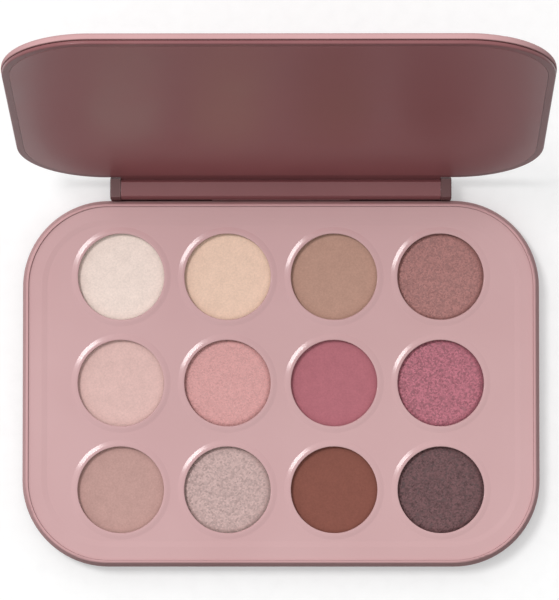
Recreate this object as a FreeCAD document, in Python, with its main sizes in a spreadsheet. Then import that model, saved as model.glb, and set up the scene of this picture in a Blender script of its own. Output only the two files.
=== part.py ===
"""Eyeshadow palette: a shallow case with a hinged lid and twelve powders in round pans.

Millimetres. The origin is the middle of the base's underside, +X runs to the right,
+Y to the hinge at the back and +Z up. The lid is modelled shut, about its own hinge
axis, and its placement then swings it open until it leans back on its stop.
"""
import FreeCAD
import Part
import Sketcher
import os

from FreeCAD import Vector

# The powders, named by shade, as they lie from the hinge side to the front
SHADES = [
    ["ivory", "peach", "tan", "rose_taupe"],
    ["blush", "salmon", "rose", "berry"],
    ["mushroom", "champagne", "chestnut", "plum"],
]

SIZES = {
    # Case outline, which follows from the grid of openings and the margins round it
    "opening_radius": 12.5,
    "opening_gap": 5.85,
    "side_margin": 16.225,
    "end_margin": 9.75,
    "corner_radius": 25.0,
    # Base shell
    "base_height": 9.0,
    "shell_wall": 1.9,
    "shell_floor": 1.2,
    "rim_bevel": 1.2,
    "rim_fall": 4.0,
    "rim_round": 0.6,
    "wall_round": 4.0,
    "rim_edge": 0.1,
    "foot_round": 1.5,
    # Tray: a border below the rim, then a sunk deck with a bead round each opening
    "tray_clearance": 0.06,
    "rim_lip": 0.6,
    "border_width": 3.8,
    "deck_drop": 0.2,
    "deck_slope": 1.6,
    "deck_plate": 1.3,
    "bead_width": 1.9,
    "bead_height": 0.25,
    "bead_flank": 1.2,
    "bead_round": 2.0,
    "opening_edge": 0.25,
    "lip_thickness": 0.7,
    "skirt_wall": 0.9,
    # Pans and powders
    "lip_overlap": 0.5,
    "lip_gap": 0.45,
    "pan_clearance": 0.15,
    "pan_wall": 0.3,
    "pan_corner": 0.6,
    "seat_inset": 3.0,
    "seat_height": 1.2,
    "pad_inset": 1.0,
    "pad_thickness": 0.3,
    "powder_edge": 0.5,
    "powder_rise": 0.12,
    # Closing magnets
    "magnet_radius": 3.0,
    "magnet_thickness": 2.0,
    "magnet_clearance": 0.05,
    "magnet_gap": 0.1,
    "post_wall": 0.9,
    "post_inset": 0.7,
    "socket_depth": 1.6,
    # Lid: a frame whose flange meets the base, a cover pressed over it and a panel let into it
    "lid_gap": 0.15,
    "flange_thickness": 1.0,
    "flange_inset": 0.2,
    "flange_round": 0.4,
    "flange_edge": 0.15,
    "parting_gap": 0.35,
    "frame_gap": 0.08,
    "cover_height": 1.95,
    "cover_round": 1.2,
    "cover_wall": 0.9,
    "cover_skin": 0.9,
    "cover_edge": 0.25,
    "panel_margin": 2.3,
    "panel_thickness": 1.0,
    "panel_proud": 0.05,
    "panel_round": 0.1,
    "seat_clearance": 0.06,
    "sheet_inset": 1.0,
    "sheet_thickness": 0.15,
    # Hinge
    "open_angle": 105.0,
    "axis_drop": 2.4,
    "barrel_radius": 3.0,
    "barrel_clearance": 0.2,
    "barrel_flat": 2.3,
    "hinge_inset": 0.5,
    "ear_width": 3.0,
    "ear_margin": 0.25,
    "ear_edge": 0.5,
    "ear_gap": 0.15,
    "neck_bite": 0.5,
    "neck_angle": 58.0,
    "notch_gap": 0.15,
    "heel_height": 1.9,
    "heel_length": 40.0,
    "stop_gap": 0.05,
    "bar_clearance": 0.35,
    "carrier_foot": 0.5,
    "peg_radius": 0.9,
    "peg_tail": 0.6,
    "pin_radius": 1.0,
    "pin_clearance": 0.05,
    "pin_inset": 0.2,
    "pin_engagement": 6.0,
    "pin_end_gap": 0.5,
    "pin_chamfer": 0.2,
}

DERIVED = {
    "opening_pitch": "=2 * opening_radius + opening_gap",
    "case_width": f"=2 * side_margin + 2 * opening_radius + {len(SHADES[0]) - 1} * opening_pitch",
    "case_depth": f"=2 * end_margin + 2 * opening_radius + {len(SHADES) - 1} * opening_pitch",
    # Heights in the base
    "border_top": "=base_height - rim_lip",
    "deck_top": "=border_top - deck_drop",
    "bead_top": "=deck_top + bead_height",
    "plate_bottom": "=deck_top - deck_plate",
    "lip_bottom": "=deck_top - lip_thickness",
    "seat_top": "=shell_floor + seat_height",
    "pan_bottom": "=seat_top + pad_thickness",
    "pan_top": "=lip_bottom - lip_gap",
    # Outlines in the base
    "rim_flat": "=shell_wall - rim_bevel - rim_edge",
    "rim_curve": "=min(rim_round; rim_flat)",
    "tray_inset": "=shell_wall + tray_clearance",
    "deck_inset": "=tray_inset + border_width",
    "pan_radius": "=opening_radius + lip_overlap",
    "well_radius": "=pan_radius + pan_clearance",
    "skirt_radius": "=well_radius + skirt_wall",
    "seat_radius": "=pan_radius - seat_inset",
    "bead_radius": "=opening_radius + bead_width",
    # Magnets, between the columns and just inside the front wall
    "magnet_bore": "=magnet_radius + magnet_clearance",
    "post_radius": "=magnet_bore + post_wall",
    "magnet_x": "=opening_pitch",
    "magnet_y": "=shell_wall + post_inset + post_radius - case_depth / 2",
    "magnet_top": "=plate_bottom - magnet_gap",
    # Lid, measured from the hinge axis outwards
    "flange_back": "=axis_drop + flange_thickness",
    "cover_rim": "=flange_back + parting_gap",
    "cover_face": "=cover_rim + cover_height",
    "lid_back": "=cover_face - cover_skin",
    "frame_inset": "=cover_wall + frame_gap",
    "panel_face": "=axis_drop - panel_proud",
    "sheet_face": "=panel_face + panel_thickness",
    "seat_floor": "=sheet_face + sheet_thickness",
    # Hinge
    "hinge_setback": "=barrel_radius + barrel_clearance",
    "hinge_y": "=case_depth / 2 + hinge_setback",
    "ear_radius": "=hinge_setback + ear_margin",
    "ear_y": "=case_depth / 2 + ear_radius",
    "hinge_z": "=base_height + lid_gap - axis_drop",
    "lid_middle": "=-hinge_y",
    "carrier_length": "=case_width - 2 * corner_radius - 2 * hinge_inset",
    "barrel_length": "=carrier_length - 2 * (ear_width + ear_gap)",
    "heel_reach": "=hinge_setback - stop_gap",
    "bar_top": "=hinge_z - sqrt(heel_reach * heel_reach + heel_height * heel_height) - bar_clearance",
    "peg_x": "=(carrier_length - ear_width) / 2",
    "peg_z": "=(carrier_foot + hinge_z) / 2",
    "pin_bore": "=pin_radius + pin_clearance",
    "pin_start": "=barrel_length / 2 - pin_engagement",
    "pin_length": "=pin_engagement + ear_gap + ear_width - pin_inset",
}

FLAT = 1e-6

doc = FreeCAD.newDocument("eyeshadow_palette")
sheet = doc.addObject("Spreadsheet::Sheet", "Sizes")
for row, (alias, content) in enumerate([*SIZES.items(), *DERIVED.items()], start=1):
    sheet.set(f"A{row}", alias)
    sheet.set(f"B{row}", str(content))
    sheet.setAlias(f"B{row}", alias)
doc.recompute()


def value(expression):
    """Present value of an expression over the sheet's sizes."""
    return float(sheet.evalExpression(expression))


def grid_places():
    """Shade and centre of each opening, as expressions over the sheet."""
    rows = len(SHADES)
    columns = len(SHADES[0])
    for row, shades in enumerate(SHADES):
        for column, shade in enumerate(shades):
            x = f"Sizes.opening_pitch * {column - (columns - 1) / 2}"
            y = f"Sizes.opening_pitch * {(rows - 1) / 2 - row}"
            yield shade, x, y


def magnet_places():
    """Centre of each closing magnet."""
    return [(f"{side} * Sizes.magnet_x", "Sizes.magnet_y") for side in (-1, 1)]


def new_body(name):
    """Empty body whose label names the sub-part."""
    body = doc.addObject("PartDesign::Body", name)
    body.Label = name
    return body


def swing_open(body):
    """Hang a lid body on the hinge axis and lean it back on its stop."""
    body.setExpression("Placement.Base.y", "Sizes.hinge_y")
    body.setExpression("Placement.Base.z", "Sizes.hinge_z")
    body.setExpression("Placement.Rotation.Axis.x", "1")
    body.setExpression("Placement.Rotation.Axis.z", "0")
    body.setExpression("Placement.Rotation.Angle", "-Sizes.open_angle")


def sketch_on(body, name, role, offset=None):
    """Sketch on one of the body's origin planes, moved along that plane's normal."""
    plane = next(f for f in body.Origin.OriginFeatures if f.Role == role)
    sketch = body.newObject("Sketcher::SketchObject", f"{body.Name}_{name}")
    sketch.AttachmentSupport = [(plane, "")]
    sketch.MapMode = "FlatFace"
    if offset:
        sketch.setExpression("AttachmentOffset.Base.z", offset)
    return sketch


def dimension(sketch, name, constraint, expression):
    """Add a named constraint and bind it to the sheet."""
    index = sketch.addConstraint(constraint)
    sketch.renameConstraint(index, name)
    sketch.setExpression(f"Constraints.{name}", expression)


def pin_point(sketch, curve, point, x, y):
    """Hold a point of a curve at two distances from the sketch's origin."""
    for kind, expression, axis in (("DistanceX", x, -2), ("DistanceY", y, -1)):
        distance = value(expression)
        if abs(distance) < FLAT:
            sketch.addConstraint(Sketcher.Constraint("PointOnObject", curve, point, axis))
        else:
            constraint = Sketcher.Constraint(kind, -1, 1, curve, point, distance)
            dimension(sketch, f"{kind}_{curve}_{point}", constraint, expression)


def draw_circle(sketch, x, y, radius):
    """Circle about a point."""
    centre = Vector(value(x), value(y), 0)
    curve = sketch.addGeometry(Part.Circle(centre, Vector(0, 0, 1), value(radius)))
    pin_point(sketch, curve, 3, x, y)
    constraint = Sketcher.Constraint("Radius", curve, value(radius))
    dimension(sketch, f"Radius_{curve}", constraint, radius)


def draw_outline(sketch, points):
    """Closed outline of straight runs through the points."""
    places = [Vector(value(x), value(y), 0) for x, y in points]
    count = len(places)
    for index in range(count):
        sketch.addGeometry(Part.LineSegment(places[index], places[(index + 1) % count]))
    for index in range(count):
        following = (index + 1) % count
        sketch.addConstraint(Sketcher.Constraint("Coincident", index, 2, following, 1))
        pin_point(sketch, index, 1, *points[index])


def draw_case_outline(sketch, inset, middle="0"):
    """Outline of the case with its rounded corners, moved in by the inset."""
    radius = f"(Sizes.corner_radius - {inset})"
    reach_x = "(Sizes.case_width / 2 - Sizes.corner_radius)"
    reach_y = "(Sizes.case_depth / 2 - Sizes.corner_radius)"
    quarter = 1.5707963267948966
    arcs = []
    for index, (side, end) in enumerate([(1, 1), (-1, 1), (-1, -1), (1, -1)]):
        x = f"{side} * {reach_x}"
        y = f"{middle} + {end} * {reach_y}"
        circle = Part.Circle(Vector(value(x), value(y), 0), Vector(0, 0, 1), value(radius))
        arc = Part.ArcOfCircle(circle, index * quarter, (index + 1) * quarter)
        curve = sketch.addGeometry(arc)
        pin_point(sketch, curve, 3, x, y)
        constraint = Sketcher.Constraint("Radius", curve, value(radius))
        dimension(sketch, f"Radius_{curve}", constraint, radius)
        arcs.append((curve, arc))
    for index, (curve, arc) in enumerate(arcs):
        next_curve, next_arc = arcs[(index + 1) % len(arcs)]
        line = sketch.addGeometry(Part.LineSegment(arc.EndPoint, next_arc.StartPoint))
        sketch.addConstraint(Sketcher.Constraint("Tangent", curve, 2, line, 1))
        sketch.addConstraint(Sketcher.Constraint("Tangent", line, 2, next_curve, 1))


def pad(sketch, length, **settings):
    """Pad a sketch by a length."""
    body = sketch.getParentGeoFeatureGroup()
    feature = body.newObject("PartDesign::Pad", f"{sketch.Name}_pad")
    feature.Profile = sketch
    feature.setExpression("Length", length)
    for name, setting in settings.items():
        setattr(feature, name, setting)
    doc.recompute()
    return feature


def pocket(sketch, length, **settings):
    """Cut a sketch into its body, and make sure that something was cut."""
    body = sketch.getParentGeoFeatureGroup()
    doc.recompute()
    before = body.Shape.Volume
    feature = body.newObject("PartDesign::Pocket", f"{sketch.Name}_cut")
    feature.Profile = sketch
    feature.setExpression("Length", length)
    for name, setting in settings.items():
        setattr(feature, name, setting)
    doc.recompute()
    if not body.Shape.Volume < before - FLAT:
        raise RuntimeError(f"{feature.Name} cuts nothing")
    return feature


def flat_edges(body, place, axis="Z", reach=None):
    """Names of the edges in a plane square to an axis, or only the circles of one reach."""
    level = value(place)
    names = []
    for index, edge in enumerate(body.Tip.Shape.Edges, start=1):
        box = edge.BoundBox
        ends = (getattr(box, f"{axis}Min"), getattr(box, f"{axis}Max"))
        if max(abs(end - level) for end in ends) > FLAT:
            continue
        radius = getattr(edge.Curve, "Radius", 0)
        if reach is None or abs(radius - value(reach)) < FLAT:
            names.append(f"Edge{index}")
    return names


def round_edges(body, name, place, radius, **which):
    """Fillet the edges in a plane."""
    edges = flat_edges(body, place, **which)
    base = body.Tip
    feature = body.newObject("PartDesign::Fillet", f"{body.Name}_{name}")
    feature.Base = (base, edges)
    feature.setExpression("Radius", radius)
    doc.recompute()
    return feature


def bevel_edges(body, name, place, width, fall):
    """Chamfer the edges in a level plane, so far in and so far down."""
    edges = flat_edges(body, place)
    base = body.Tip
    feature = body.newObject("PartDesign::Chamfer", f"{body.Name}_{name}")
    feature.Base = (base, edges)
    feature.ChamferType = "Two distances"
    feature.setExpression("Size", fall)
    feature.setExpression("Size2", width)
    doc.recompute()
    return feature


def make_base_shell():
    """Lower case: floor, wall, pan seats, magnet posts and holes for the hinge's pegs."""
    body = new_body("base_shell")
    outline = sketch_on(body, "outline", "XY_Plane")
    draw_case_outline(outline, "0")
    pad(outline, "Sizes.base_height")
    round_edges(body, "foot_round", "0", "Sizes.foot_round")
    bevel_edges(body, "rim_bevel", "Sizes.base_height", "Sizes.rim_bevel", "Sizes.rim_fall")
    round_edges(body, "rim_round", "Sizes.base_height", "Sizes.rim_curve")
    round_edges(body, "wall_round", "Sizes.base_height - Sizes.rim_fall", "Sizes.wall_round")
    cavity = sketch_on(body, "cavity", "XY_Plane", "Sizes.base_height")
    draw_case_outline(cavity, "Sizes.shell_wall")
    pocket(cavity, "Sizes.base_height - Sizes.shell_floor")
    round_edges(body, "rim_edge", "Sizes.base_height", "Sizes.rim_edge")
    seats = sketch_on(body, "seats", "XY_Plane", "Sizes.shell_floor")
    for shade, x, y in grid_places():
        draw_circle(seats, x, y, "Sizes.seat_radius")
    pad(seats, "Sizes.seat_height")
    posts = sketch_on(body, "posts", "XY_Plane", "Sizes.shell_floor")
    for x, y in magnet_places():
        draw_circle(posts, x, y, "Sizes.post_radius")
    post_top = "(Sizes.magnet_top - Sizes.magnet_thickness + Sizes.socket_depth)"
    pad(posts, f"{post_top} - Sizes.shell_floor")
    sockets = sketch_on(body, "sockets", "XY_Plane", post_top)
    for x, y in magnet_places():
        draw_circle(sockets, x, y, "Sizes.magnet_bore")
    pocket(sockets, "Sizes.socket_depth")
    holes = sketch_on(body, "peg_holes", "XZ_Plane", "-Sizes.case_depth / 2")
    for side in (-1, 1):
        draw_circle(holes, f"{side} * Sizes.peg_x", "Sizes.peg_z", "Sizes.peg_radius")
    pocket(holes, "Sizes.shell_wall", Reversed=True)
    return body


def make_pan_tray():
    """Deck plate with beaded openings, and a skirt under each that stands on the floor."""
    body = new_body("pan_tray")
    plate = sketch_on(body, "plate", "XY_Plane", "Sizes.plate_bottom")
    draw_case_outline(plate, "Sizes.tray_inset")
    pad(plate, "Sizes.border_top - Sizes.plate_bottom")
    deck = sketch_on(body, "deck", "XY_Plane", "Sizes.border_top")
    draw_case_outline(deck, "Sizes.deck_inset")
    sunk = pocket(deck, "Sizes.deck_drop")
    sunk.setExpression("TaperAngle", "-atan(Sizes.deck_slope / Sizes.deck_drop)")
    doc.recompute()
    skirts = sketch_on(body, "skirts", "XY_Plane", "Sizes.shell_floor")
    beads = sketch_on(body, "beads", "XY_Plane", "Sizes.deck_top")
    openings = sketch_on(body, "openings", "XY_Plane", "Sizes.bead_top")
    wells = sketch_on(body, "wells", "XY_Plane", "Sizes.lip_bottom")
    for shade, x, y in grid_places():
        draw_circle(skirts, x, y, "Sizes.skirt_radius")
        draw_circle(beads, x, y, "Sizes.bead_radius")
        draw_circle(openings, x, y, "Sizes.opening_radius")
        draw_circle(wells, x, y, "Sizes.well_radius")
    pad(skirts, "Sizes.plate_bottom - Sizes.shell_floor")
    flanks = pad(beads, "Sizes.bead_height")
    flanks.setExpression("TaperAngle", "-atan(Sizes.bead_flank / Sizes.bead_height)")
    doc.recompute()
    round_edges(body, "bead_round", "Sizes.bead_top", "Sizes.bead_round",
                reach="Sizes.bead_radius - Sizes.bead_flank")
    pocket(openings, "Sizes.bead_top - Sizes.shell_floor")
    pocket(wells, "Sizes.lip_bottom - Sizes.shell_floor")
    round_edges(body, "opening_edge", "Sizes.bead_top", "Sizes.opening_edge",
                reach="Sizes.opening_radius")
    return body


def turned_body(name, x, y, points):
    """Body turned about an upright axis through a point of the grid."""
    body = new_body(name)
    body.setExpression("Placement.Base.x", x)
    body.setExpression("Placement.Base.y", y)
    profile = sketch_on(body, "profile", "XZ_Plane")
    draw_outline(profile, points)
    turn = body.newObject("PartDesign::Revolution", f"{name}_turn")
    turn.Profile = profile
    turn.ReferenceAxis = (profile, ["V_Axis"])
    doc.recompute()
    return body


def make_pan(shade, x, y):
    """Pressed metal cup with a rounded foot."""
    inner = "Sizes.pan_radius - Sizes.pan_wall"
    inside_floor = "Sizes.pan_bottom + Sizes.pan_wall"
    points = [
        ("0", "Sizes.pan_bottom"),
        ("Sizes.pan_radius", "Sizes.pan_bottom"),
        ("Sizes.pan_radius", "Sizes.pan_top"),
        (inner, "Sizes.pan_top"),
        (inner, inside_floor),
        ("0", inside_floor),
    ]
    body = turned_body(f"pan_{shade}", x, y, points)
    round_edges(body, "foot", "Sizes.pan_bottom", "Sizes.pan_corner")
    return body


def make_powder(shade, x, y):
    """Powder pressed into its pan, a little crowned above the rim."""
    inner = "Sizes.pan_radius - Sizes.pan_wall"
    inside_floor = "Sizes.pan_bottom + Sizes.pan_wall"
    crown = "Sizes.pan_top + Sizes.powder_rise"
    points = [
        ("0", inside_floor),
        (inner, inside_floor),
        (inner, "Sizes.pan_top - Sizes.powder_rise"),
        (f"{inner} - Sizes.powder_edge", crown),
        ("0", crown),
    ]
    return turned_body(f"powder_{shade}", x, y, points)


def make_discs(name, places, radius, bottom, thickness):
    """Group of equal flat discs at one level."""
    body = new_body(name)
    rings = sketch_on(body, "discs", "XY_Plane", bottom)
    for x, y in places:
        draw_circle(rings, x, y, radius)
    pad(rings, thickness)
    return body


def make_hinge_carrier():
    """Bar on the base's back wall with an ear at each end for the hinge pins."""
    body = new_body("hinge_carrier")
    wall = "Sizes.case_depth / 2"
    back = "Sizes.ear_y + Sizes.ear_radius"
    block = sketch_on(body, "block", "YZ_Plane")
    corners = [
        (wall, "Sizes.carrier_foot"),
        (back, "Sizes.carrier_foot"),
        (back, "Sizes.hinge_z"),
        (wall, "Sizes.hinge_z"),
    ]
    draw_outline(block, corners)
    pad(block, "Sizes.carrier_length", SideType="Symmetric")
    crown = sketch_on(body, "crown", "YZ_Plane")
    draw_circle(crown, "Sizes.ear_y", "Sizes.hinge_z", "Sizes.ear_radius")
    pad(crown, "Sizes.carrier_length", SideType="Symmetric")
    above = "Sizes.hinge_z + 2 * Sizes.ear_radius"
    flat = sketch_on(body, "flat", "YZ_Plane")
    draw_outline(flat, [
        (wall, "Sizes.hinge_z + Sizes.barrel_flat"),
        (back, "Sizes.hinge_z + Sizes.barrel_flat"),
        (back, above),
        (wall, above),
    ])
    pocket(flat, "Sizes.carrier_length", SideType="Symmetric")
    for side in (-1, 1):
        name = "left_edge" if side < 0 else "right_edge"
        round_edges(body, name, f"{side} * Sizes.carrier_length / 2", "Sizes.ear_edge", axis="X")
    pin_holes = sketch_on(body, "pin_holes", "YZ_Plane")
    draw_circle(pin_holes, "Sizes.hinge_y", "Sizes.hinge_z", "Sizes.pin_radius")
    pocket(pin_holes, "Sizes.carrier_length", SideType="Symmetric")
    room = sketch_on(body, "barrel_room", "YZ_Plane")
    before = f"{wall} - Sizes.hinge_setback"
    behind = f"{back} + Sizes.hinge_setback"
    draw_outline(room, [
        (before, "Sizes.bar_top"),
        (behind, "Sizes.bar_top"),
        (behind, above),
        (before, above),
    ])
    pocket(room, "Sizes.barrel_length + 2 * Sizes.ear_gap", SideType="Symmetric")
    pegs = sketch_on(body, "pegs", "XZ_Plane", "-Sizes.case_depth / 2")
    for side in (-1, 1):
        draw_circle(pegs, f"{side} * Sizes.peg_x", "Sizes.peg_z", "Sizes.peg_radius")
    pad(pegs, "Sizes.shell_wall + Sizes.peg_tail")
    return body


def make_hinge_pin(name, side):
    """Steel pin held in one ear and running in the end of the barrel."""
    body = new_body(name)
    body.setExpression("Placement.Base.y", "Sizes.hinge_y")
    body.setExpression("Placement.Base.z", "Sizes.hinge_z")
    start = sketch_on(body, "section", "YZ_Plane", f"{side} * Sizes.pin_start")
    draw_circle(start, "0", "0", "Sizes.pin_radius")
    rod = pad(start, "Sizes.pin_length", Reversed=side < 0)
    bevel = body.newObject("PartDesign::Chamfer", f"{name}_bevel")
    bevel.Base = (rod, ["Edge1", "Edge3"])
    bevel.setExpression("Size", "Sizes.pin_chamfer")
    doc.recompute()
    return body


def make_lid_cover():
    """Outer skin of the lid, with a notch in its back wall for the hinge's neck."""
    body = new_body("lid_cover")
    outline = sketch_on(body, "outline", "XY_Plane", "Sizes.cover_rim")
    draw_case_outline(outline, "0", "Sizes.lid_middle")
    pad(outline, "Sizes.cover_height")
    round_edges(body, "round", "Sizes.cover_face", "Sizes.cover_round")
    cavity = sketch_on(body, "cavity", "XY_Plane", "Sizes.cover_rim")
    draw_case_outline(cavity, "Sizes.cover_wall", "Sizes.lid_middle")
    pocket(cavity, "Sizes.lid_back - Sizes.cover_rim", Reversed=True)
    round_edges(body, "rim_edge", "Sizes.cover_rim", "Sizes.cover_edge")
    notch = sketch_on(body, "notch", "XY_Plane", "Sizes.cover_rim")
    half = "(Sizes.barrel_length / 2 + Sizes.notch_gap)"
    inside = "-(Sizes.hinge_setback + Sizes.frame_inset)"
    draw_outline(notch, [
        (f"-{half}", inside),
        (half, inside),
        (half, "-Sizes.barrel_clearance"),
        (f"-{half}", "-Sizes.barrel_clearance"),
    ])
    pocket(notch, "Sizes.lid_back - Sizes.cover_rim + Sizes.notch_gap", Reversed=True)
    swing_open(body)
    return body


def make_lid_frame():
    """Inside of the lid: a flange, a plug that fills the cover, and the hinge barrel."""
    body = new_body("lid_frame")
    flange = sketch_on(body, "flange", "XY_Plane", "Sizes.axis_drop")
    draw_case_outline(flange, "Sizes.flange_inset", "Sizes.lid_middle")
    pad(flange, "Sizes.flange_thickness")
    round_edges(body, "flange_round", "Sizes.axis_drop", "Sizes.flange_round")
    round_edges(body, "flange_edge", "Sizes.flange_back", "Sizes.flange_edge")
    plug = sketch_on(body, "plug", "XY_Plane", "Sizes.flange_back")
    draw_case_outline(plug, "Sizes.frame_inset", "Sizes.lid_middle")
    pad(plug, "Sizes.lid_back - Sizes.flange_back")
    neck = sketch_on(body, "neck", "YZ_Plane")
    root = "-(Sizes.hinge_setback + Sizes.frame_inset + Sizes.neck_bite)"
    touch_y = "Sizes.barrel_radius * cos(Sizes.neck_angle * 1 deg)"
    touch_z = "Sizes.barrel_radius * sin(Sizes.neck_angle * 1 deg)"
    crest = f"{touch_y} - (Sizes.lid_back - {touch_z}) * tan(Sizes.neck_angle * 1 deg)"
    draw_outline(neck, [
        (root, "Sizes.axis_drop"),
        ("0", "Sizes.axis_drop"),
        ("0", "0"),
        (touch_y, touch_z),
        (crest, "Sizes.lid_back"),
        (root, "Sizes.lid_back"),
    ])
    pad(neck, "Sizes.barrel_length", SideType="Symmetric")
    barrel = sketch_on(body, "barrel", "YZ_Plane")
    draw_circle(barrel, "0", "0", "Sizes.barrel_radius")
    pad(barrel, "Sizes.barrel_length", SideType="Symmetric")
    flat = sketch_on(body, "flat", "YZ_Plane")
    flat.setExpression("AttachmentOffset.Rotation.Angle", "Sizes.open_angle")
    draw_outline(flat, [
        ("-Sizes.barrel_radius", "Sizes.barrel_flat"),
        ("Sizes.barrel_radius", "Sizes.barrel_flat"),
        ("Sizes.barrel_radius", "2 * Sizes.barrel_radius"),
        ("-Sizes.barrel_radius", "2 * Sizes.barrel_radius"),
    ])
    pocket(flat, "Sizes.barrel_length", SideType="Symmetric")
    heel = sketch_on(body, "heel", "YZ_Plane")
    heel.setExpression("AttachmentOffset.Rotation.Angle", "Sizes.open_angle")
    draw_outline(heel, [
        ("0", "0"),
        ("-Sizes.heel_reach", "0"),
        ("-Sizes.heel_reach", "-Sizes.heel_height"),
        ("0", "-Sizes.heel_height"),
    ])
    pad(heel, "Sizes.heel_length", SideType="Symmetric")
    seat = sketch_on(body, "panel_seat", "XY_Plane", "Sizes.axis_drop")
    draw_case_outline(seat, "(Sizes.panel_margin - Sizes.seat_clearance)", "Sizes.lid_middle")
    pocket(seat, "Sizes.seat_floor - Sizes.axis_drop", Reversed=True)
    holes = sketch_on(body, "magnet_holes", "XY_Plane", "Sizes.lid_back")
    for x, y in magnet_places():
        draw_circle(holes, x, f"{y} - Sizes.hinge_y", "Sizes.magnet_bore")
    pocket(holes, "Sizes.lid_back - Sizes.seat_floor")
    for side in (-1, 1):
        name = "left_bore" if side < 0 else "right_bore"
        bore = sketch_on(body, name, "YZ_Plane", f"{side} * Sizes.barrel_length / 2")
        draw_circle(bore, "0", "0", "Sizes.pin_bore")
        pocket(bore, "Sizes.pin_engagement + Sizes.pin_end_gap", Reversed=side < 0)
    swing_open(body)
    return body


def make_lid_panel():
    """Glossy plate let into the lid frame, a little proud of it."""
    body = new_body("lid_panel")
    plate = sketch_on(body, "plate", "XY_Plane", "Sizes.panel_face")
    draw_case_outline(plate, "Sizes.panel_margin", "Sizes.lid_middle")
    pad(plate, "Sizes.panel_thickness")
    round_edges(body, "edge", "Sizes.panel_face", "Sizes.panel_round")
    swing_open(body)
    return body


def make_panel_adhesive():
    """Thin sheet that bonds the panel to the lid frame."""
    body = new_body("panel_adhesive")
    sheet_outline = sketch_on(body, "outline", "XY_Plane", "Sizes.sheet_face")
    draw_case_outline(sheet_outline, "(Sizes.panel_margin + Sizes.sheet_inset)", "Sizes.lid_middle")
    pad(sheet_outline, "Sizes.sheet_thickness")
    swing_open(body)
    return body


def make_lid_magnets():
    """Disc magnets in the lid frame, over those of the base when the lid is shut."""
    places = [(x, f"{y} - Sizes.hinge_y") for x, y in magnet_places()]
    thickness = "Sizes.lid_back - Sizes.seat_floor"
    body = make_discs("lid_magnets", places, "Sizes.magnet_radius", "Sizes.seat_floor", thickness)
    swing_open(body)
    return body


def make_palette():
    """Every sub-part of the palette."""
    grid = list(grid_places())
    middles = [(x, y) for shade, x, y in grid]
    bodies = [make_base_shell(), make_pan_tray()]
    bodies.append(make_discs("pan_glue_pads", middles, "Sizes.seat_radius - Sizes.pad_inset",
                             "Sizes.seat_top", "Sizes.pad_thickness"))
    for shade, x, y in grid:
        bodies.append(make_pan(shade, x, y))
        bodies.append(make_powder(shade, x, y))
    bodies.append(make_discs("base_magnets", magnet_places(), "Sizes.magnet_radius",
                             "Sizes.magnet_top - Sizes.magnet_thickness", "Sizes.magnet_thickness"))
    bodies.append(make_hinge_carrier())
    bodies.append(make_hinge_pin("hinge_pin_left", -1))
    bodies.append(make_hinge_pin("hinge_pin_right", 1))
    bodies.append(make_lid_cover())
    bodies.append(make_lid_frame())
    bodies.append(make_lid_panel())
    bodies.append(make_panel_adhesive())
    bodies.append(make_lid_magnets())
    return bodies


palette = make_palette()
doc.recompute()

for item in doc.Objects:
    if "Invalid" in item.State or "Error" in item.State:
        raise RuntimeError(f"{item.Name} failed: {item.State}")
for part in palette:
    if part.Shape.isNull() or not part.Shape.isValid() or not part.Shape.Solids:
        raise RuntimeError(f"{part.Label} has no valid solid")

os.makedirs("parts", exist_ok=True)
for part in palette:
    part.Shape.exportStep(f"parts/{part.Label}.step")
    print(f"{part.Label}: {len(part.Shape.Solids)} solids, {part.Shape.Volume:.1f} mm3")
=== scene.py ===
# %% [markdown]
# # An eyeshadow palette
#
# This lesson dresses an imported model of an open eyeshadow palette: a shallow pink case, twelve
# pressed powders and a lid that leans back on its hinge. The model already has every piece at
# its real size, so here we choose finishes, press the powders into fine meshes, and set up the
# camera and the light. We start by loading the model.

import math

import bpy
from mathutils import Euler, Matrix, Vector, noise


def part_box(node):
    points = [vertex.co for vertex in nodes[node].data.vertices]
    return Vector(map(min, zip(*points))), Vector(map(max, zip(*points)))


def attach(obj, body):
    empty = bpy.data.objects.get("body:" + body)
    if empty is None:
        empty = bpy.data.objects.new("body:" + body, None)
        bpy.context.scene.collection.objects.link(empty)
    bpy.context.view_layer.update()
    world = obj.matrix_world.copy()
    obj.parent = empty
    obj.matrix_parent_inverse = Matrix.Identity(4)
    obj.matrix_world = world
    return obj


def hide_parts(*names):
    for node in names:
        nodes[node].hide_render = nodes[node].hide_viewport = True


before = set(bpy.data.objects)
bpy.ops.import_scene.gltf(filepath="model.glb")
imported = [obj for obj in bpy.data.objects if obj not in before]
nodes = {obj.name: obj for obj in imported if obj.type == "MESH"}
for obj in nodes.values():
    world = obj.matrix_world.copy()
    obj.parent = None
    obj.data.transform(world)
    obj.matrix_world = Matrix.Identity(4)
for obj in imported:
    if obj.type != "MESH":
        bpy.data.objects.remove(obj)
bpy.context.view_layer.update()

# %% [markdown]
# ## Camera
#
# The palette is seen almost from straight above, with a long lens that stands a little to the
# front and to the right. A camera in Blender looks along its own -Z axis. We could turn it by
# three angles, but near the upright those are hard to tell apart. So we lean its axis from the
# upright by two small angles, and keep the image's upward direction in line with +Y. The image
# is higher than it is wide, so the sensor's 36 mm lie along its height.

# %% Camera
MM = 0.001
camera_target = Vector((-0.37, 24.03, 9.0)) * MM
camera_distance = 1113.3 * MM
lean_to_front = math.radians(2.657)
lean_to_right = math.radians(0.428)

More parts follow.
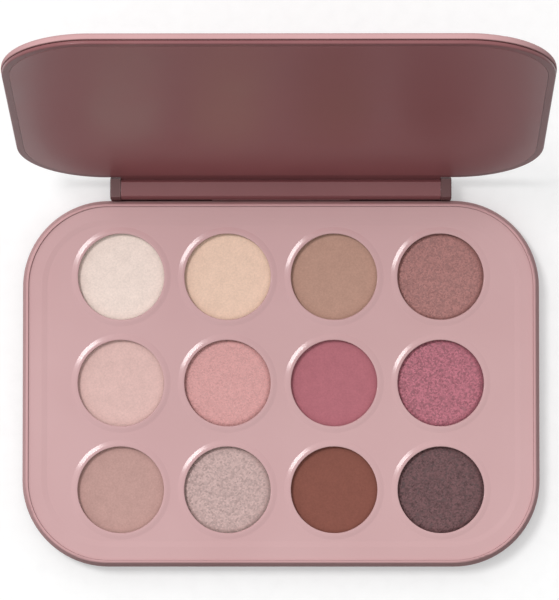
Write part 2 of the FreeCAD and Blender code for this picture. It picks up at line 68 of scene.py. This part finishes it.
camera_data = bpy.data.cameras.new("camera")
camera_data.sensor_width = 36.0
camera_data.lens = 230.7
camera = bpy.data.objects.new("camera", camera_data)
backward = Vector((0, 0, 1))
backward.rotate(Euler((lean_to_front, lean_to_right, 0)))
rightward = Vector((0, 1, 0)).cross(backward).normalized()
upward = backward.cross(rightward)
camera.location = camera_target + backward * camera_distance
camera.rotation_euler = Matrix((rightward, upward, backward)).transposed().to_euler()
bpy.context.scene.collection.objects.link(camera)
bpy.context.scene.camera = camera
print(f"camera at {camera.location.to_tuple(3)} with a {camera_data.lens} mm lens")

# %% [markdown]
# ## Helpers for finishes
#
# Colours are easiest to choose as hex values, as a paint program shows them. Blender's shaders
# count in linear light, so one function turns a hex value into that. A second one adds a node to
# a material with its settings and links in one call, which keeps the recipes short. A third one
# starts a material and gives the place of each point, from which every pattern is drawn.

# %% Colour and node helpers
def linear(hex_colour, gain=1.0):
    """Turns an sRGB hex value into the linear colour that a shader takes."""
    channels = []
    for start in (1, 3, 5):
        share = int(hex_colour[start:start + 2], 16) / 255
        light = share / 12.92 if share <= 0.04045 else ((share + 0.055) / 1.055) ** 2.4
        channels.append(min(light * gain, 1.0))
    return (*channels, 1.0)


def add(tree, kind, inputs=None, stops=(), **settings):
    """Adds a node, sets its properties and colour stops, and links or sets its inputs."""
    node = tree.nodes.new(kind)
    for name, setting in settings.items():
        setattr(node, name, setting)
    for index, (position, colour) in enumerate(stops):
        node.color_ramp.elements[index].position = position
        node.color_ramp.elements[index].color = colour
    for name, source in (inputs or {}).items():
        if isinstance(source, bpy.types.NodeSocket):
            tree.links.new(source, node.inputs[name])
        else:
            node.inputs[name].default_value = source
    return node


def new_material(name):
    """Empty material with its node tree and the place of each point in metres."""
    material = bpy.data.materials.new(name)
    material.use_nodes = True
    tree = material.node_tree
    tree.nodes.clear()
    place = add(tree, "ShaderNodeTexCoord").outputs["Object"]
    return material, tree, place


print(f"a hex value of #808080 is {linear('#808080')[0]:.3f} in linear light")

# %% [markdown]
# ## Rubbed edges and painted highlights
#
# Hands rub a plastic case most along its edges, which turn a little lighter. The same lighter line
# also stands in for the highlight that a lit edge catches, so it is partly wear and partly a
# painted highlight. Those lines could be painted on edge by edge, but Blender can find the edges
# by itself. The Bevel node gives the direction that the surface would face if its edges were
# round, and only near an edge does that differ from the true direction. We turn the difference
# into a share of a lighter colour.

# %% Rubbed edges and painted highlights
# The lighter line, part wear and part painted highlight, reaches this far from an edge.
RUB_AND_HIGHLIGHT_MM = 0.4
# The line is at full strength where the cosine between the two directions is down to this.
RUB_AND_HIGHLIGHT_FULL = 0.85
# Share of the lighter colour where the line is at full strength.
RUB_AND_HIGHLIGHT_SHARE = 0.6


def rubbed_and_highlit_edges(tree, tone, rubbed_and_highlit_hex):
    """Colour lighter along the edges: wear where hands rub, and a painted edge highlight."""
    surface = add(tree, "ShaderNodeNewGeometry").outputs["Normal"]
    rounded = add(tree, "ShaderNodeBevel", {"Radius": RUB_AND_HIGHLIGHT_MM * MM}, samples=6).outputs["Normal"]
    turn = add(tree, "ShaderNodeVectorMath", {0: surface, 1: rounded}, operation="DOT_PRODUCT")
    rub_and_highlight = add(tree, "ShaderNodeMapRange", {
        "Value": turn.outputs["Value"], "From Min": 1.0, "From Max": RUB_AND_HIGHLIGHT_FULL, "To Max": RUB_AND_HIGHLIGHT_SHARE})
    # Sockets 6 and 7 of a mix node take its two colours, and output 2 gives the mixed one.
    mixed = add(tree, "ShaderNodeMix", {
        0: rub_and_highlight.outputs["Result"], 6: tone, 7: linear(rubbed_and_highlit_hex)}, data_type="RGBA")
    return mixed.outputs[2]


print(f"edges are rubbed {RUB_AND_HIGHLIGHT_MM} mm wide")

# %% [markdown]
# ## Moulded plastic
#
# The case, the tray and the lid are moulded ABS, a tough plastic that takes over the finish of
# its mould. The tray comes from a finely worked mould, so it shows a lamp as a narrow streak. The
# inside of the lid and the hinge carrier have a coarser satin, which spreads the light. The outer
# shell and the lid's cover are sprayed with a soft-touch coat, which hardly shines at all.
#
# A picture of plastic could be wrapped round the pieces, but it would stretch at the corners. One
# recipe of noise in real millimetres fits them all: a fine grain as bump and as a small change in
# roughness, and a wide, faint change of tone, as pigment leaves where the plastic flowed.

# %% Moulded ABS
ABS_IOR = 1.53
FLOW_MM = 28.0
# The real grain is about 0.1 mm, which is finer than a pixel here, so it is drawn coarser.
GRAIN_MM = 0.55
GRAIN_DEPTH_MM = 0.002
# Blender's noise runs from 0 to 1, but most of it lies between these two values.
NOISE_LOW = 0.3
NOISE_HIGH = 0.7


def moulded_abs(name, dark_hex, light_hex, rubbed_and_highlit_hex, smooth, rough, specular):
    """Moulded ABS between two close tones and two values of roughness."""
    material, tree, place = new_material(name)
    flow = add(tree, "ShaderNodeTexNoise", {
        "Vector": place, "Scale": 1 / (FLOW_MM * MM), "Detail": 2.0})
    tone = add(tree, "ShaderNodeValToRGB", {"Fac": flow.outputs["Fac"]}, stops=[
        (NOISE_LOW, linear(dark_hex)), (NOISE_HIGH, linear(light_hex))])
    # Lighter along every edge: partly wear, partly a painted highlight.
    colour = rubbed_and_highlit_edges(tree, tone.outputs["Color"], rubbed_and_highlit_hex)
    grain = add(tree, "ShaderNodeTexNoise", {
        "Vector": place, "Scale": 1 / (GRAIN_MM * MM), "Detail": 2.0})
    gloss = add(tree, "ShaderNodeMapRange", {
        "Value": grain.outputs["Fac"], "From Min": NOISE_LOW, "From Max": NOISE_HIGH,
        "To Min": smooth, "To Max": rough})
    bump = add(tree, "ShaderNodeBump", {
        "Height": grain.outputs["Fac"], "Distance": GRAIN_DEPTH_MM * MM, "Strength": 1.0})
    shader = add(tree, "ShaderNodeBsdfPrincipled", {
        "Base Color": colour, "Roughness": gloss.outputs["Result"],
        "Normal": bump.outputs["Normal"], "IOR": ABS_IOR, "Specular IOR Level": specular})
    add(tree, "ShaderNodeOutputMaterial", {"Surface": shader.outputs["BSDF"]})
    return material


# The third colour of each is its edge line, partly wear and partly painted highlight.
# The tray: smooth enough for crisp streaks on the beads.
pink_abs = moulded_abs("satin_pink_abs", "#cda5a6", "#d1aaab", "#d8b2b3",
                       smooth=0.12, rough=0.17, specular=0.26)
# The outside: a rubbery coat that shows its colour and almost no lamp.
coated_abs = moulded_abs("soft_touch_pink_abs", "#cba0a1", "#cfa5a6", "#d6aeaf",
                         smooth=0.50, rough=0.58, specular=0.02)
# The inside of the lid: a soft sheen along the barrel and the flange. Its dark mauve is partly
# its own colour and partly painted shade, where the lid faces away from the light.
mauve_and_shade_abs = moulded_abs("satin_mauve_and_shade_abs", "#885356", "#8e595b", "#a87678",
                        smooth=0.28, rough=0.36, specular=0.3)
# The hinge carrier: the same satin in a darker tone.
dark_abs = moulded_abs("dark_mauve_abs", "#6a4748", "#704d4d", "#8a6263",
                       smooth=0.32, rough=0.40, specular=0.3)
print("made", pink_abs.name, coated_abs.name, mauve_and_shade_abs.name, dark_abs.name)

# %% [markdown]
# ## Polished plastic
#
# The panel in the lid is a flat acrylic plate with a polished face. Its dark mauve is partly its
# own colour and partly painted shade. It mirrors the powders faintly, and more strongly at a flat
# angle, which the shader's own Fresnel gives. A perfect mirror would look like a drawing. A real
# plate is never quite flat or quite clean, so it gets a slow ripple and a thin film of handling
# that blurs its reflections a little more in some places than in others.

# %% Polished acrylic
ACRYLIC_IOR = 1.49
RIPPLE_MM = 14.0
RIPPLE_DEPTH_MM = 0.004
FILM_MM = 16.0
# The plate is clean where the film's noise is below this.
FILM_START = 0.35
CLEAN_ROUGHNESS = 0.29
FILM_ROUGHNESS = 0.35


def polished_acrylic(name, dark_hex, light_hex):
    """Polished coloured acrylic with a faint ripple and a film of handling."""
    material, tree, place = new_material(name)
    film = add(tree, "ShaderNodeTexNoise", {
        "Vector": place, "Scale": 1 / (FILM_MM * MM), "Detail": 2.0})
    tone = add(tree, "ShaderNodeValToRGB", {"Fac": film.outputs["Fac"]}, stops=[
        (NOISE_LOW, linear(dark_hex)), (NOISE_HIGH, linear(light_hex))])
    gloss = add(tree, "ShaderNodeMapRange", {
        "Value": film.outputs["Fac"], "From Min": FILM_START, "From Max": NOISE_HIGH,
        "To Min": CLEAN_ROUGHNESS, "To Max": FILM_ROUGHNESS})
    ripple = add(tree, "ShaderNodeTexNoise", {
        "Vector": place, "Scale": 1 / (RIPPLE_MM * MM), "Detail": 0.0})
    bump = add(tree, "ShaderNodeBump", {
        "Height": ripple.outputs["Fac"], "Distance": RIPPLE_DEPTH_MM * MM, "Strength": 1.0})
    shader = add(tree, "ShaderNodeBsdfPrincipled", {
        "Base Color": tone.outputs["Color"], "Roughness": gloss.outputs["Result"],
        "Normal": bump.outputs["Normal"], "IOR": ACRYLIC_IOR})
    add(tree, "ShaderNodeOutputMaterial", {"Surface": shader.outputs["BSDF"]})
    return material


# The plate's dark mauve: partly its own colour, partly painted shade.
panel_acrylic_and_shade = polished_acrylic("polished_mauve_and_shade_acrylic", "#9d5f62", "#a06265")
print("made", panel_acrylic_and_shade.name)

# %% [markdown]
# ## Metal
#
# The metal pieces are mostly hidden, but someone may open the model and look. The pans are drawn
# from tinplate, which leaves rings round their axis. The pins are drawn steel with fine lines
# along them, and the magnets are plated with nickel over a ground body. An anisotropic shader
# could bend the highlights, but lines of noise, stretched along one direction, also show as lines
# from close by. They change the tone and the roughness.

# %% Metals
# Real lines from drawing are finer than 0.1 mm, so they are drawn coarser here.
LINE_MM = 0.3
LINE_LENGTH_MM = 12.0


def streaked_metal(name, dark_hex, light_hex, scale, smooth, rough):
    """Bare metal with fine lines, which run where the scale is small."""
    material, tree, place = new_material(name)
    lines = add(tree, "ShaderNodeMapping", {"Vector": place, "Scale": scale})
    streaks = add(tree, "ShaderNodeTexNoise", {
        "Vector": lines.outputs["Vector"], "Scale": 1.0, "Detail": 3.0})
    tone = add(tree, "ShaderNodeValToRGB", {"Fac": streaks.outputs["Fac"]}, stops=[
        (NOISE_LOW, linear(dark_hex)), (NOISE_HIGH, linear(light_hex))])
    gloss = add(tree, "ShaderNodeMapRange", {
        "Value": streaks.outputs["Fac"], "From Min": NOISE_LOW, "From Max": NOISE_HIGH,
        "To Min": smooth, "To Max": rough})
    shader = add(tree, "ShaderNodeBsdfPrincipled", {
        "Base Color": tone.outputs["Color"], "Roughness": gloss.outputs["Result"], "Metallic": 1.0})
    add(tree, "ShaderNodeOutputMaterial", {"Surface": shader.outputs["BSDF"]})
    return material


across = 1 / (LINE_MM * MM)
along = 1 / (LINE_LENGTH_MM * MM)
tinplate = streaked_metal("drawn_tinplate", "#a9a8a4", "#c4c3bf", (along, along, across),
                          smooth=0.30, rough=0.42)
pin_steel = streaked_metal("drawn_steel", "#9c9b99", "#b9b8b6", (along, across, across),
                           smooth=0.22, rough=0.34)
nickel = streaked_metal("nickel_plate", "#b3aea3", "#c8c3b8", (across, along, across),
                        smooth=0.16, rough=0.26)
print("made", tinplate.name, pin_steel.name, nickel.name)

# %% [markdown]
# ## Glue
#
# A pad of hot-melt glue holds each pan, and a sheet of acrylic adhesive holds the panel. Set glue
# is dull, a little cloudy and slightly lumpy. Both are hidden, so a see-through material would be
# wasted work: one cloud of noise gives the tone and the lumps.

# %% Glue
CLOUD_MM = 2.5
CLOUD_DEPTH_MM = 0.05
GLUE_ROUGHNESS = 0.6


def dull_glue(name, dark_hex, light_hex):
    """Set glue: dull, cloudy and slightly lumpy."""
    material, tree, place = new_material(name)
    cloud = add(tree, "ShaderNodeTexNoise", {
        "Vector": place, "Scale": 1 / (CLOUD_MM * MM), "Detail": 3.0})
    tone = add(tree, "ShaderNodeValToRGB", {"Fac": cloud.outputs["Fac"]}, stops=[
        (NOISE_LOW, linear(dark_hex)), (NOISE_HIGH, linear(light_hex))])
    bump = add(tree, "ShaderNodeBump", {
        "Height": cloud.outputs["Fac"], "Distance": CLOUD_DEPTH_MM * MM})
    shader = add(tree, "ShaderNodeBsdfPrincipled", {
        "Base Color": tone.outputs["Color"], "Roughness": GLUE_ROUGHNESS,
        "Normal": bump.outputs["Normal"]})
    add(tree, "ShaderNodeOutputMaterial", {"Surface": shader.outputs["BSDF"]})
    return material


glue = dull_glue("hot_melt_glue", "#cfc8b4", "#ddd7c6")
tape = dull_glue("acrylic_adhesive", "#d8d6cf", "#e4e2dc")
print("made", glue.name, tape.name)

# %% [markdown]
# ## Matte powder
#
# Eyeshadow is a fine powder pressed into its pan. A matte shade is pigment and talc, which scatter
# light evenly: the eye sees a soft, cloudy tone, a fine grain and no gloss. Real grains could never
# be modelled one by one. We mix a wide and a fine noise for the tone, and use the fine one as bump
# too, so that light from the side picks out the same grains.

# %% Matte powder
POWDER_CLOUD_MM = 3.5
# Real pigment grains are a few thousandths of a millimetre. What shows is how they clump.
CLUMP_MM = 0.45
CLUMP_DEPTH_MM = 0.03
CLUMP_SHARE = 0.65
MATTE_SPREAD = 0.10
MATTE_ROUGHNESS = 0.92
MATTE_SPECULAR = 0.15
# Ivory, peach and tan, in the back row next to the lid, are their own tones painted a little
# lighter: painted light that makes up for the lid's shade on that row.
MATTE = {
    "ivory": "#f1e0d6",
    "peach": "#edceb9",
    "tan": "#bb9585",
    "blush": "#debbb5",
    "rose": "#b46f79",
    "mushroom": "#c09a93",
    "chestnut": "#88554a",
}


def matte_powder(name, hex_colour):
    """Matte pressed powder: cloudy tone and a fine clumped grain."""
    material, tree, place = new_material(name)
    cloud = add(tree, "ShaderNodeTexNoise", {
        "Vector": place, "Scale": 1 / (POWDER_CLOUD_MM * MM), "Detail": 4.0})
    clump = add(tree, "ShaderNodeTexNoise", {
        "Vector": place, "Scale": 1 / (CLUMP_MM * MM), "Detail": 2.0})
    mixed = add(tree, "ShaderNodeMix", {
        "Factor": CLUMP_SHARE, "A": cloud.outputs["Fac"], "B": clump.outputs["Fac"]})
    tone = add(tree, "ShaderNodeValToRGB", {"Fac": mixed.outputs["Result"]}, stops=[
        (NOISE_LOW, linear(hex_colour, 1 - MATTE_SPREAD)),
        (NOISE_HIGH, linear(hex_colour, 1 + MATTE_SPREAD))])
    bump = add(tree, "ShaderNodeBump", {
        "Height": clump.outputs["Fac"], "Distance": CLUMP_DEPTH_MM * MM})
    shader = add(tree, "ShaderNodeBsdfPrincipled", {
        "Base Color": tone.outputs["Color"], "Roughness": MATTE_ROUGHNESS,
        "Normal": bump.outputs["Normal"], "Specular IOR Level": MATTE_SPECULAR})
    add(tree, "ShaderNodeOutputMaterial", {"Surface": shader.outputs["BSDF"]})
    return material


powder_finish = {}
for shade, colour in MATTE.items():
    powder_finish[shade] = matte_powder(f"matte_powder_{shade}", colour)
print(len(powder_finish), "matte powders:", ", ".join(powder_finish))

# %% [markdown]
# ## Shimmer powder
#
# A shimmer shade holds flakes of coated mica, which lie at many angles and flash one by one. The
# flakes could be scattered as thousands of small plates, but a Voronoi pattern does the same for
# the eye: each of its cells is one flake. Its random colour gives the flake a tone and a tilt of
# its own, and lets some flakes act as metal.

# %% Shimmer powder
SHIMMER_CLOUD_MM = 2.0
FLAKE_SHARE = 0.65
# A cell's chance runs evenly from 0 to 1, so the tones are spread wider than for noise.
FLAKE_LOW = 0.2
FLAKE_HIGH = 0.8
# Flakes whose chance is above this begin to act as metal.
METAL_START = 0.4
# A flake with the middle of all chances lies flat.
MIDDLE_CHANCE = (0.5, 0.5, 0.5)
FLAKE_TILT = 0.35
SHIMMER_ROUGHNESS = 0.45
SHIMMER_SPECULAR = 0.2
# Colour, width of a flake in mm (drawn coarser than real mica), contrast of the flakes, and how
# metallic the brightest flakes are.
SHIMMER = {
    "rose_taupe": ("#a67672", 0.38, 0.24, 0.30),
    "salmon": ("#d59f9d", 0.36, 0.14, 0.10),
    "berry": ("#ae6b78", 0.40, 0.34, 0.30),
    "champagne": ("#c0a5a1", 0.45, 0.21, 0.30),
    "plum": ("#694c4e", 0.40, 0.42, 0.08),
}


def shimmer_powder(name, hex_colour, flake_mm, contrast, shine):
    """Pressed powder with flakes of mica, each with its own tone and tilt."""
    material, tree, place = new_material(name)
    flakes = add(tree, "ShaderNodeTexVoronoi", {"Vector": place, "Scale": 1 / (flake_mm * MM)})
    chance = add(tree, "ShaderNodeSeparateColor", {"Color": flakes.outputs["Color"]})
    cloud = add(tree, "ShaderNodeTexNoise", {
        "Vector": place, "Scale": 1 / (SHIMMER_CLOUD_MM * MM), "Detail": 3.0})
    mixed = add(tree, "ShaderNodeMix", {
        "Factor": FLAKE_SHARE, "A": cloud.outputs["Fac"], "B": chance.outputs["Red"]})
    tone = add(tree, "ShaderNodeValToRGB", {"Fac": mixed.outputs["Result"]}, stops=[
        (FLAKE_LOW, linear(hex_colour, 1 - contrast)),
        (FLAKE_HIGH, linear(hex_colour, 1 + contrast))])
    metal = add(tree, "ShaderNodeMapRange", {
        "Value": chance.outputs["Red"], "From Min": METAL_START, "From Max": 1.0,
        "To Min": 0.0, "To Max": shine})
    tilt = add(tree, "ShaderNodeVectorMath", {
        0: flakes.outputs["Color"], 1: MIDDLE_CHANCE}, operation="SUBTRACT")
    lean = add(tree, "ShaderNodeVectorMath", {
        0: tilt.outputs["Vector"], "Scale": FLAKE_TILT}, operation="SCALE")
    surface = add(tree, "ShaderNodeNewGeometry")
    facing = add(tree, "ShaderNodeVectorMath", {
        0: surface.outputs["Normal"], 1: lean.outputs["Vector"]}, operation="ADD")
    unit = add(tree, "ShaderNodeVectorMath", {0: facing.outputs["Vector"]}, operation="NORMALIZE")
    shader = add(tree, "ShaderNodeBsdfPrincipled", {
        "Base Color": tone.outputs["Color"], "Metallic": metal.outputs["Result"],
        "Normal": unit.outputs["Vector"], "Roughness": SHIMMER_ROUGHNESS,
        "Specular IOR Level": SHIMMER_SPECULAR})
    add(tree, "ShaderNodeOutputMaterial", {"Surface": shader.outputs["BSDF"]})
    return material


for shade, recipe in SHIMMER.items():
    powder_finish[shade] = shimmer_powder(f"shimmer_powder_{shade}", *recipe)
print(len(SHIMMER), "shimmer powders:", ", ".join(SHIMMER))

# %% [markdown]
# ## The face of a pressed powder
#
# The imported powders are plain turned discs. A real one has a soft crowned face, a relief of fine
# lumps, and an edge that crumbles slightly where the press let go. It could be sculpted by hand,
# but a formula gives twelve different faces at once: a height for every point, worked out from its
# distance to the pan's axis and from smooth noise.

# %% Powder relief
CROWN = 0.05 * MM
SWELL = 0.012 * MM
SWELL_WIDTH = 6 * MM
LUMP_WIDTH = 1.1 * MM
# The lumps read the noise this far from where the swell reads it.
LUMP_SEED = 9
# Height of the lumps, then drop and width of the edge. Flaky powder is rougher and crumbles further.
MATTE_PRESS = {"lumps": 0.012 * MM, "drop": 0.36 * MM, "edge": 1.0 * MM}
SHIMMER_PRESS = {"lumps": 0.03 * MM, "drop": 0.85 * MM, "edge": 1.4 * MM}


def smooth_noise(x, y, width, seed):
    """Smooth noise between -1 and 1, with lumps of about this width."""
    return noise.noise(Vector((x / width, y / width, seed)))


def powder_height(x, y, reach, radius, seed, press):
    """Height of the pressed face at one point, counted from the top of its crown."""
    inner = radius - press["edge"]
    crown = -CROWN * (reach / radius) ** 2
    swell = SWELL * smooth_noise(x, y, SWELL_WIDTH, seed)
    relief = swell + press["lumps"] * smooth_noise(x, y, LUMP_WIDTH, seed + LUMP_SEED)
    if reach <= inner:
        return crown + relief
    share = min((reach - inner) / press["edge"], 1.0)
    return crown + relief * (1 - share) - press["drop"] * (1 - math.sqrt(1 - share * share))


print(f"a matte edge falls {MATTE_PRESS['drop'] / MM:.2f} mm, a shimmer edge "
      f"{SHIMMER_PRESS['drop'] / MM:.2f} mm")

# %% [markdown]
# ## The powders as meshes
#
# A square grid would leave a stepped rim on a round powder, so the mesh is made of rings about the
# pan's axis. The rings lie closer together over the rounded edge. A fan of triangles fills the
# middle, bands of four-sided faces follow, and a wall and a flat underside close the mesh.

# %% Powder meshes
SEGMENTS = 128
FACE_RINGS = 34
EDGE_RINGS = 6
# The press leaves the face a little below the pan's rim.
FACE_BELOW = 0.6 * MM


def ring_reaches(radius, edge):
    """Distances of the rings from the axis, closer together over the rounded edge."""
    inner = radius - edge
    reaches = [inner * ring / FACE_RINGS for ring in range(1, FACE_RINGS + 1)]
    for ring in range(1, EDGE_RINGS + 1):
        reaches.append(inner + edge * math.sin(math.pi / 2 * ring / EDGE_RINGS))
    return reaches


def powder_points(low, high, seed, press):
    """Points of one powder: its centre, the rings of its face and the rim of its underside."""
    middle = (low + high) / 2
    radius = (high.x - low.x) / 2
    top = high.z - FACE_BELOW - press["lumps"]
    points = [(middle.x, middle.y, top + powder_height(0, 0, 0, radius, seed, press))]
    for reach in ring_reaches(radius, press["edge"]):
        for segment in range(SEGMENTS):
            angle = 2 * math.pi * segment / SEGMENTS
            x = reach * math.cos(angle)
            y = reach * math.sin(angle)
            height = powder_height(x, y, reach, radius, seed, press)
            points.append((middle.x + x, middle.y + y, top + height))
    for x, y, _ in points[-SEGMENTS:]:
        points.append((x, y, low.z))
    return points


def powder_faces():
    """A fan round the centre, bands out to the rim of the underside, and the underside itself."""
    bands = FACE_RINGS + EDGE_RINGS
    faces = []
    for segment in range(SEGMENTS):
        following = (segment + 1) % SEGMENTS
        faces.append((0, 1 + segment, 1 + following))
        for band in range(bands):
            near = 1 + band * SEGMENTS
            far = near + SEGMENTS
            faces.append((near + segment, far + segment, far + following, near + following))
    last = 1 + bands * SEGMENTS
    faces.append(tuple(range(last + SEGMENTS - 1, last - 1, -1)))
    return faces


print(f"each powder has {FACE_RINGS + EDGE_RINGS} rings of {SEGMENTS} points")

# %% [markdown]
# ## Twelve pressed powders
#
# Now each shade gets its mesh. Its place and size come from the disc that it replaces, so a powder
# always fits its pan. Smooth shading hides the facets, and edges sharper than a given angle stay
# crisp, as at the foot of the wall.

# %% Press the powders
SHARP_ANGLE = math.radians(50)
# Each powder reads the noise in a layer of its own.
SEED_STEP = 10.0


def pressed_powder(shade, seed, press):
    """Closed mesh of one pressed powder, in the place of its turned disc."""
    low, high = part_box(f"powder_{shade}")
    mesh = bpy.data.meshes.new(f"pressed_{shade}")
    mesh.from_pydata(powder_points(low, high, seed, press), [], powder_faces())
    mesh.shade_smooth()
    mesh.set_sharp_from_angle(angle=SHARP_ANGLE)
    mesh.materials.append(powder_finish[shade])
    piece = bpy.data.objects.new(f"pressed_{shade}", mesh)
    bpy.context.scene.collection.objects.link(piece)
    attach(piece, "base")
    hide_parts(f"powder_{shade}")
    return piece


for number, shade in enumerate(sorted(powder_finish)):
    press = SHIMMER_PRESS if shade in SHIMMER else MATTE_PRESS
    piece = pressed_powder(shade, SEED_STEP * number, press)
    print(f"pressed {shade} with {len(piece.data.vertices)} points")

# %% [markdown]
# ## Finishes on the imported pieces
#
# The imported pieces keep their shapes, which are already those of the real palette, and take the
# finishes made above. A piece's mesh holds its material in a slot, so we put the new one there. A
# list by name shows at a glance which piece is made of what.

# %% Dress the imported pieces
finishes = {
    "base_shell": coated_abs,
    "pan_tray": pink_abs,
    "lid_cover": coated_abs,
    "lid_frame": mauve_and_shade_abs,
    "hinge_carrier": dark_abs,
    "lid_panel": panel_acrylic_and_shade,
    "panel_adhesive": tape,
    "pan_glue_pads": glue,
    "base_magnets": nickel,
    "lid_magnets": nickel,
    "hinge_pin_left": pin_steel,
    "hinge_pin_right": pin_steel,
}
for shade in powder_finish:
    finishes[f"pan_{shade}"] = tinplate
    finishes[f"powder_{shade}"] = powder_finish[shade]
for name, piece in nodes.items():
    piece.data.materials.clear()
    piece.data.materials.append(finishes[name])
print(f"dressed {len(nodes)} packed pieces")

# %% [markdown]
# ## Floor
#
# The palette lies on a sheet of white paper, which is too large for its edge to show. A curved
# backdrop could carry the paper up behind the palette, but the world behind it is white as well,
# so one flat square will do. It is stage, not part of the palette.

# %% Floor sheet
FLOOR_SIZE = 4.0
half = FLOOR_SIZE / 2
corners = [(-half, -half, 0), (half, -half, 0), (half, half, 0), (-half, half, 0)]
floor_mesh = bpy.data.meshes.new("floor")
floor_mesh.from_pydata(corners, [], [(0, 1, 2, 3)])
floor = bpy.data.objects.new("floor", floor_mesh)
bpy.context.scene.collection.objects.link(floor)
print(f"floor {FLOOR_SIZE} m wide")

# %% [markdown]
# ## White paper
#
# White paper looks white in a studio picture because it gets more light than the object. More
# light here would bleach the palette too. So we keep the light plain, and let the paper add a
# little light of its own where the camera or a reflection sees it. It still takes shadows. Light
# that bounces from it to the object comes from a greyer paper, as in a room whose walls are not
# white.

# %% White paper
# Fibres lie in faint clouds of about this size.
FIBRE_MM = 4.0
# Strength of the paper's own light, where 1 is white.
PAPER_GLOW = 0.30
PAPER_DARK = "#d8d8d8"
PAPER_LIGHT = "#dcdcdc"
PAPER_BOUNCE = "#484848"


def seen_directly(tree):
    """Value of 1 for rays from the camera, from a reflection or through glass, and 0 for others."""
    path = add(tree, "ShaderNodeLightPath").outputs
    straight = add(tree, "ShaderNodeMath", {
        0: path["Is Camera Ray"], 1: path["Is Glossy Ray"]}, operation="MAXIMUM")
    seen = add(tree, "ShaderNodeMath", {
        0: straight.outputs[0], 1: path["Is Transmission Ray"]}, operation="MAXIMUM")
    return seen.outputs[0]


paper, tree, place = new_material("white_paper")
fibre = add(tree, "ShaderNodeTexNoise", {
    "Vector": place, "Scale": 1 / (FIBRE_MM * MM), "Detail": 3.0})
tone = add(tree, "ShaderNodeValToRGB", {"Fac": fibre.outputs["Fac"]}, stops=[
    (NOISE_LOW, linear(PAPER_DARK)), (NOISE_HIGH, linear(PAPER_LIGHT))])
sheet = add(tree, "ShaderNodeBsdfDiffuse", {"Color": tone.outputs["Color"]})
glow = add(tree, "ShaderNodeEmission", {"Strength": PAPER_GLOW})
white = add(tree, "ShaderNodeAddShader", {0: sheet.outputs[0], 1: glow.outputs[0]})
grey = add(tree, "ShaderNodeBsdfDiffuse", {"Color": linear(PAPER_BOUNCE)})
either = add(tree, "ShaderNodeMixShader", {
    0: seen_directly(tree), 1: grey.outputs[0], 2: white.outputs[0]})
add(tree, "ShaderNodeOutputMaterial", {"Surface": either.outputs[0]})
floor_mesh.materials.append(paper)
print("made", paper.name)

# %% [markdown]
# ## Softbox
#
# A round softbox hangs high up, behind the palette and to its left. It gives a smaller part of the
# light, but its reflection draws the bright streaks on the beads round the powders, and it throws
# the shadow towards the front and the right. A point lamp would make that shadow hard, so we use a
# disc with the size of a real softbox.

# %% Softbox
LAMP_TOWARDS = Vector((-0.34, 0.28, 0.90)).normalized()
# Distance and diameter are in metres, and the power is in watts.
LAMP_DISTANCE = 2.0
LAMP_DIAMETER = 0.5
LAMP_POWER = 15.0
lamp_data = bpy.data.lights.new("softbox", "AREA")
lamp_data.shape = "DISK"
lamp_data.size = LAMP_DIAMETER
lamp_data.energy = LAMP_POWER
lamp = bpy.data.objects.new("softbox", lamp_data)
lamp.location = LAMP_TOWARDS * LAMP_DISTANCE
lamp.rotation_euler = LAMP_TOWARDS.to_track_quat("Z", "Y").to_euler()
bpy.context.scene.collection.objects.link(lamp)
print(f"softbox {LAMP_DIAMETER} m wide at {lamp.location.to_tuple(2)}")

# %% [markdown]
# ## Room light
#
# Most of the light is soft light from the room. It leans from behind, as from a wide window, so the
# lid shades its own inside, which stays dark. A world of one plain grey would light every side
# alike, so here its strength rises towards the window and fades on the other side. The camera and
# the reflections see plain white instead, while the soft light on the object keeps its level.

# %% Room light
ROOM_LEVEL = 0.27
ROOM_LEAN = 0.82
ROOM_TOWARDS = Vector((-0.24, 0.51, 0.83)).normalized()
ROOM_COLOUR = "#ffffff"
BACKGROUND = 1.0
world = bpy.data.worlds.new("studio")
world.use_nodes = True
bpy.context.scene.world = world
tree = world.node_tree
tree.nodes.clear()
sky = add(tree, "ShaderNodeTexCoord").outputs["Generated"]
side = add(tree, "ShaderNodeVectorMath", {
    0: sky, 1: ROOM_TOWARDS * ROOM_LEAN}, operation="DOT_PRODUCT")
lit = add(tree, "ShaderNodeMath", {
    0: side.outputs["Value"], 1: ROOM_LEVEL}, operation="ADD", use_clamp=True)
level = add(tree, "ShaderNodeMix", {
    "Factor": seen_directly(tree), "A": lit.outputs[0], "B": BACKGROUND})
room = add(tree, "ShaderNodeBackground", {
    "Color": linear(ROOM_COLOUR), "Strength": level.outputs["Result"]})
add(tree, "ShaderNodeOutputWorld", {"Surface": room.outputs["Background"]})
bpy.context.scene.view_settings.view_transform = "Standard"
print("room light leans from", ROOM_TOWARDS.to_tuple(2))
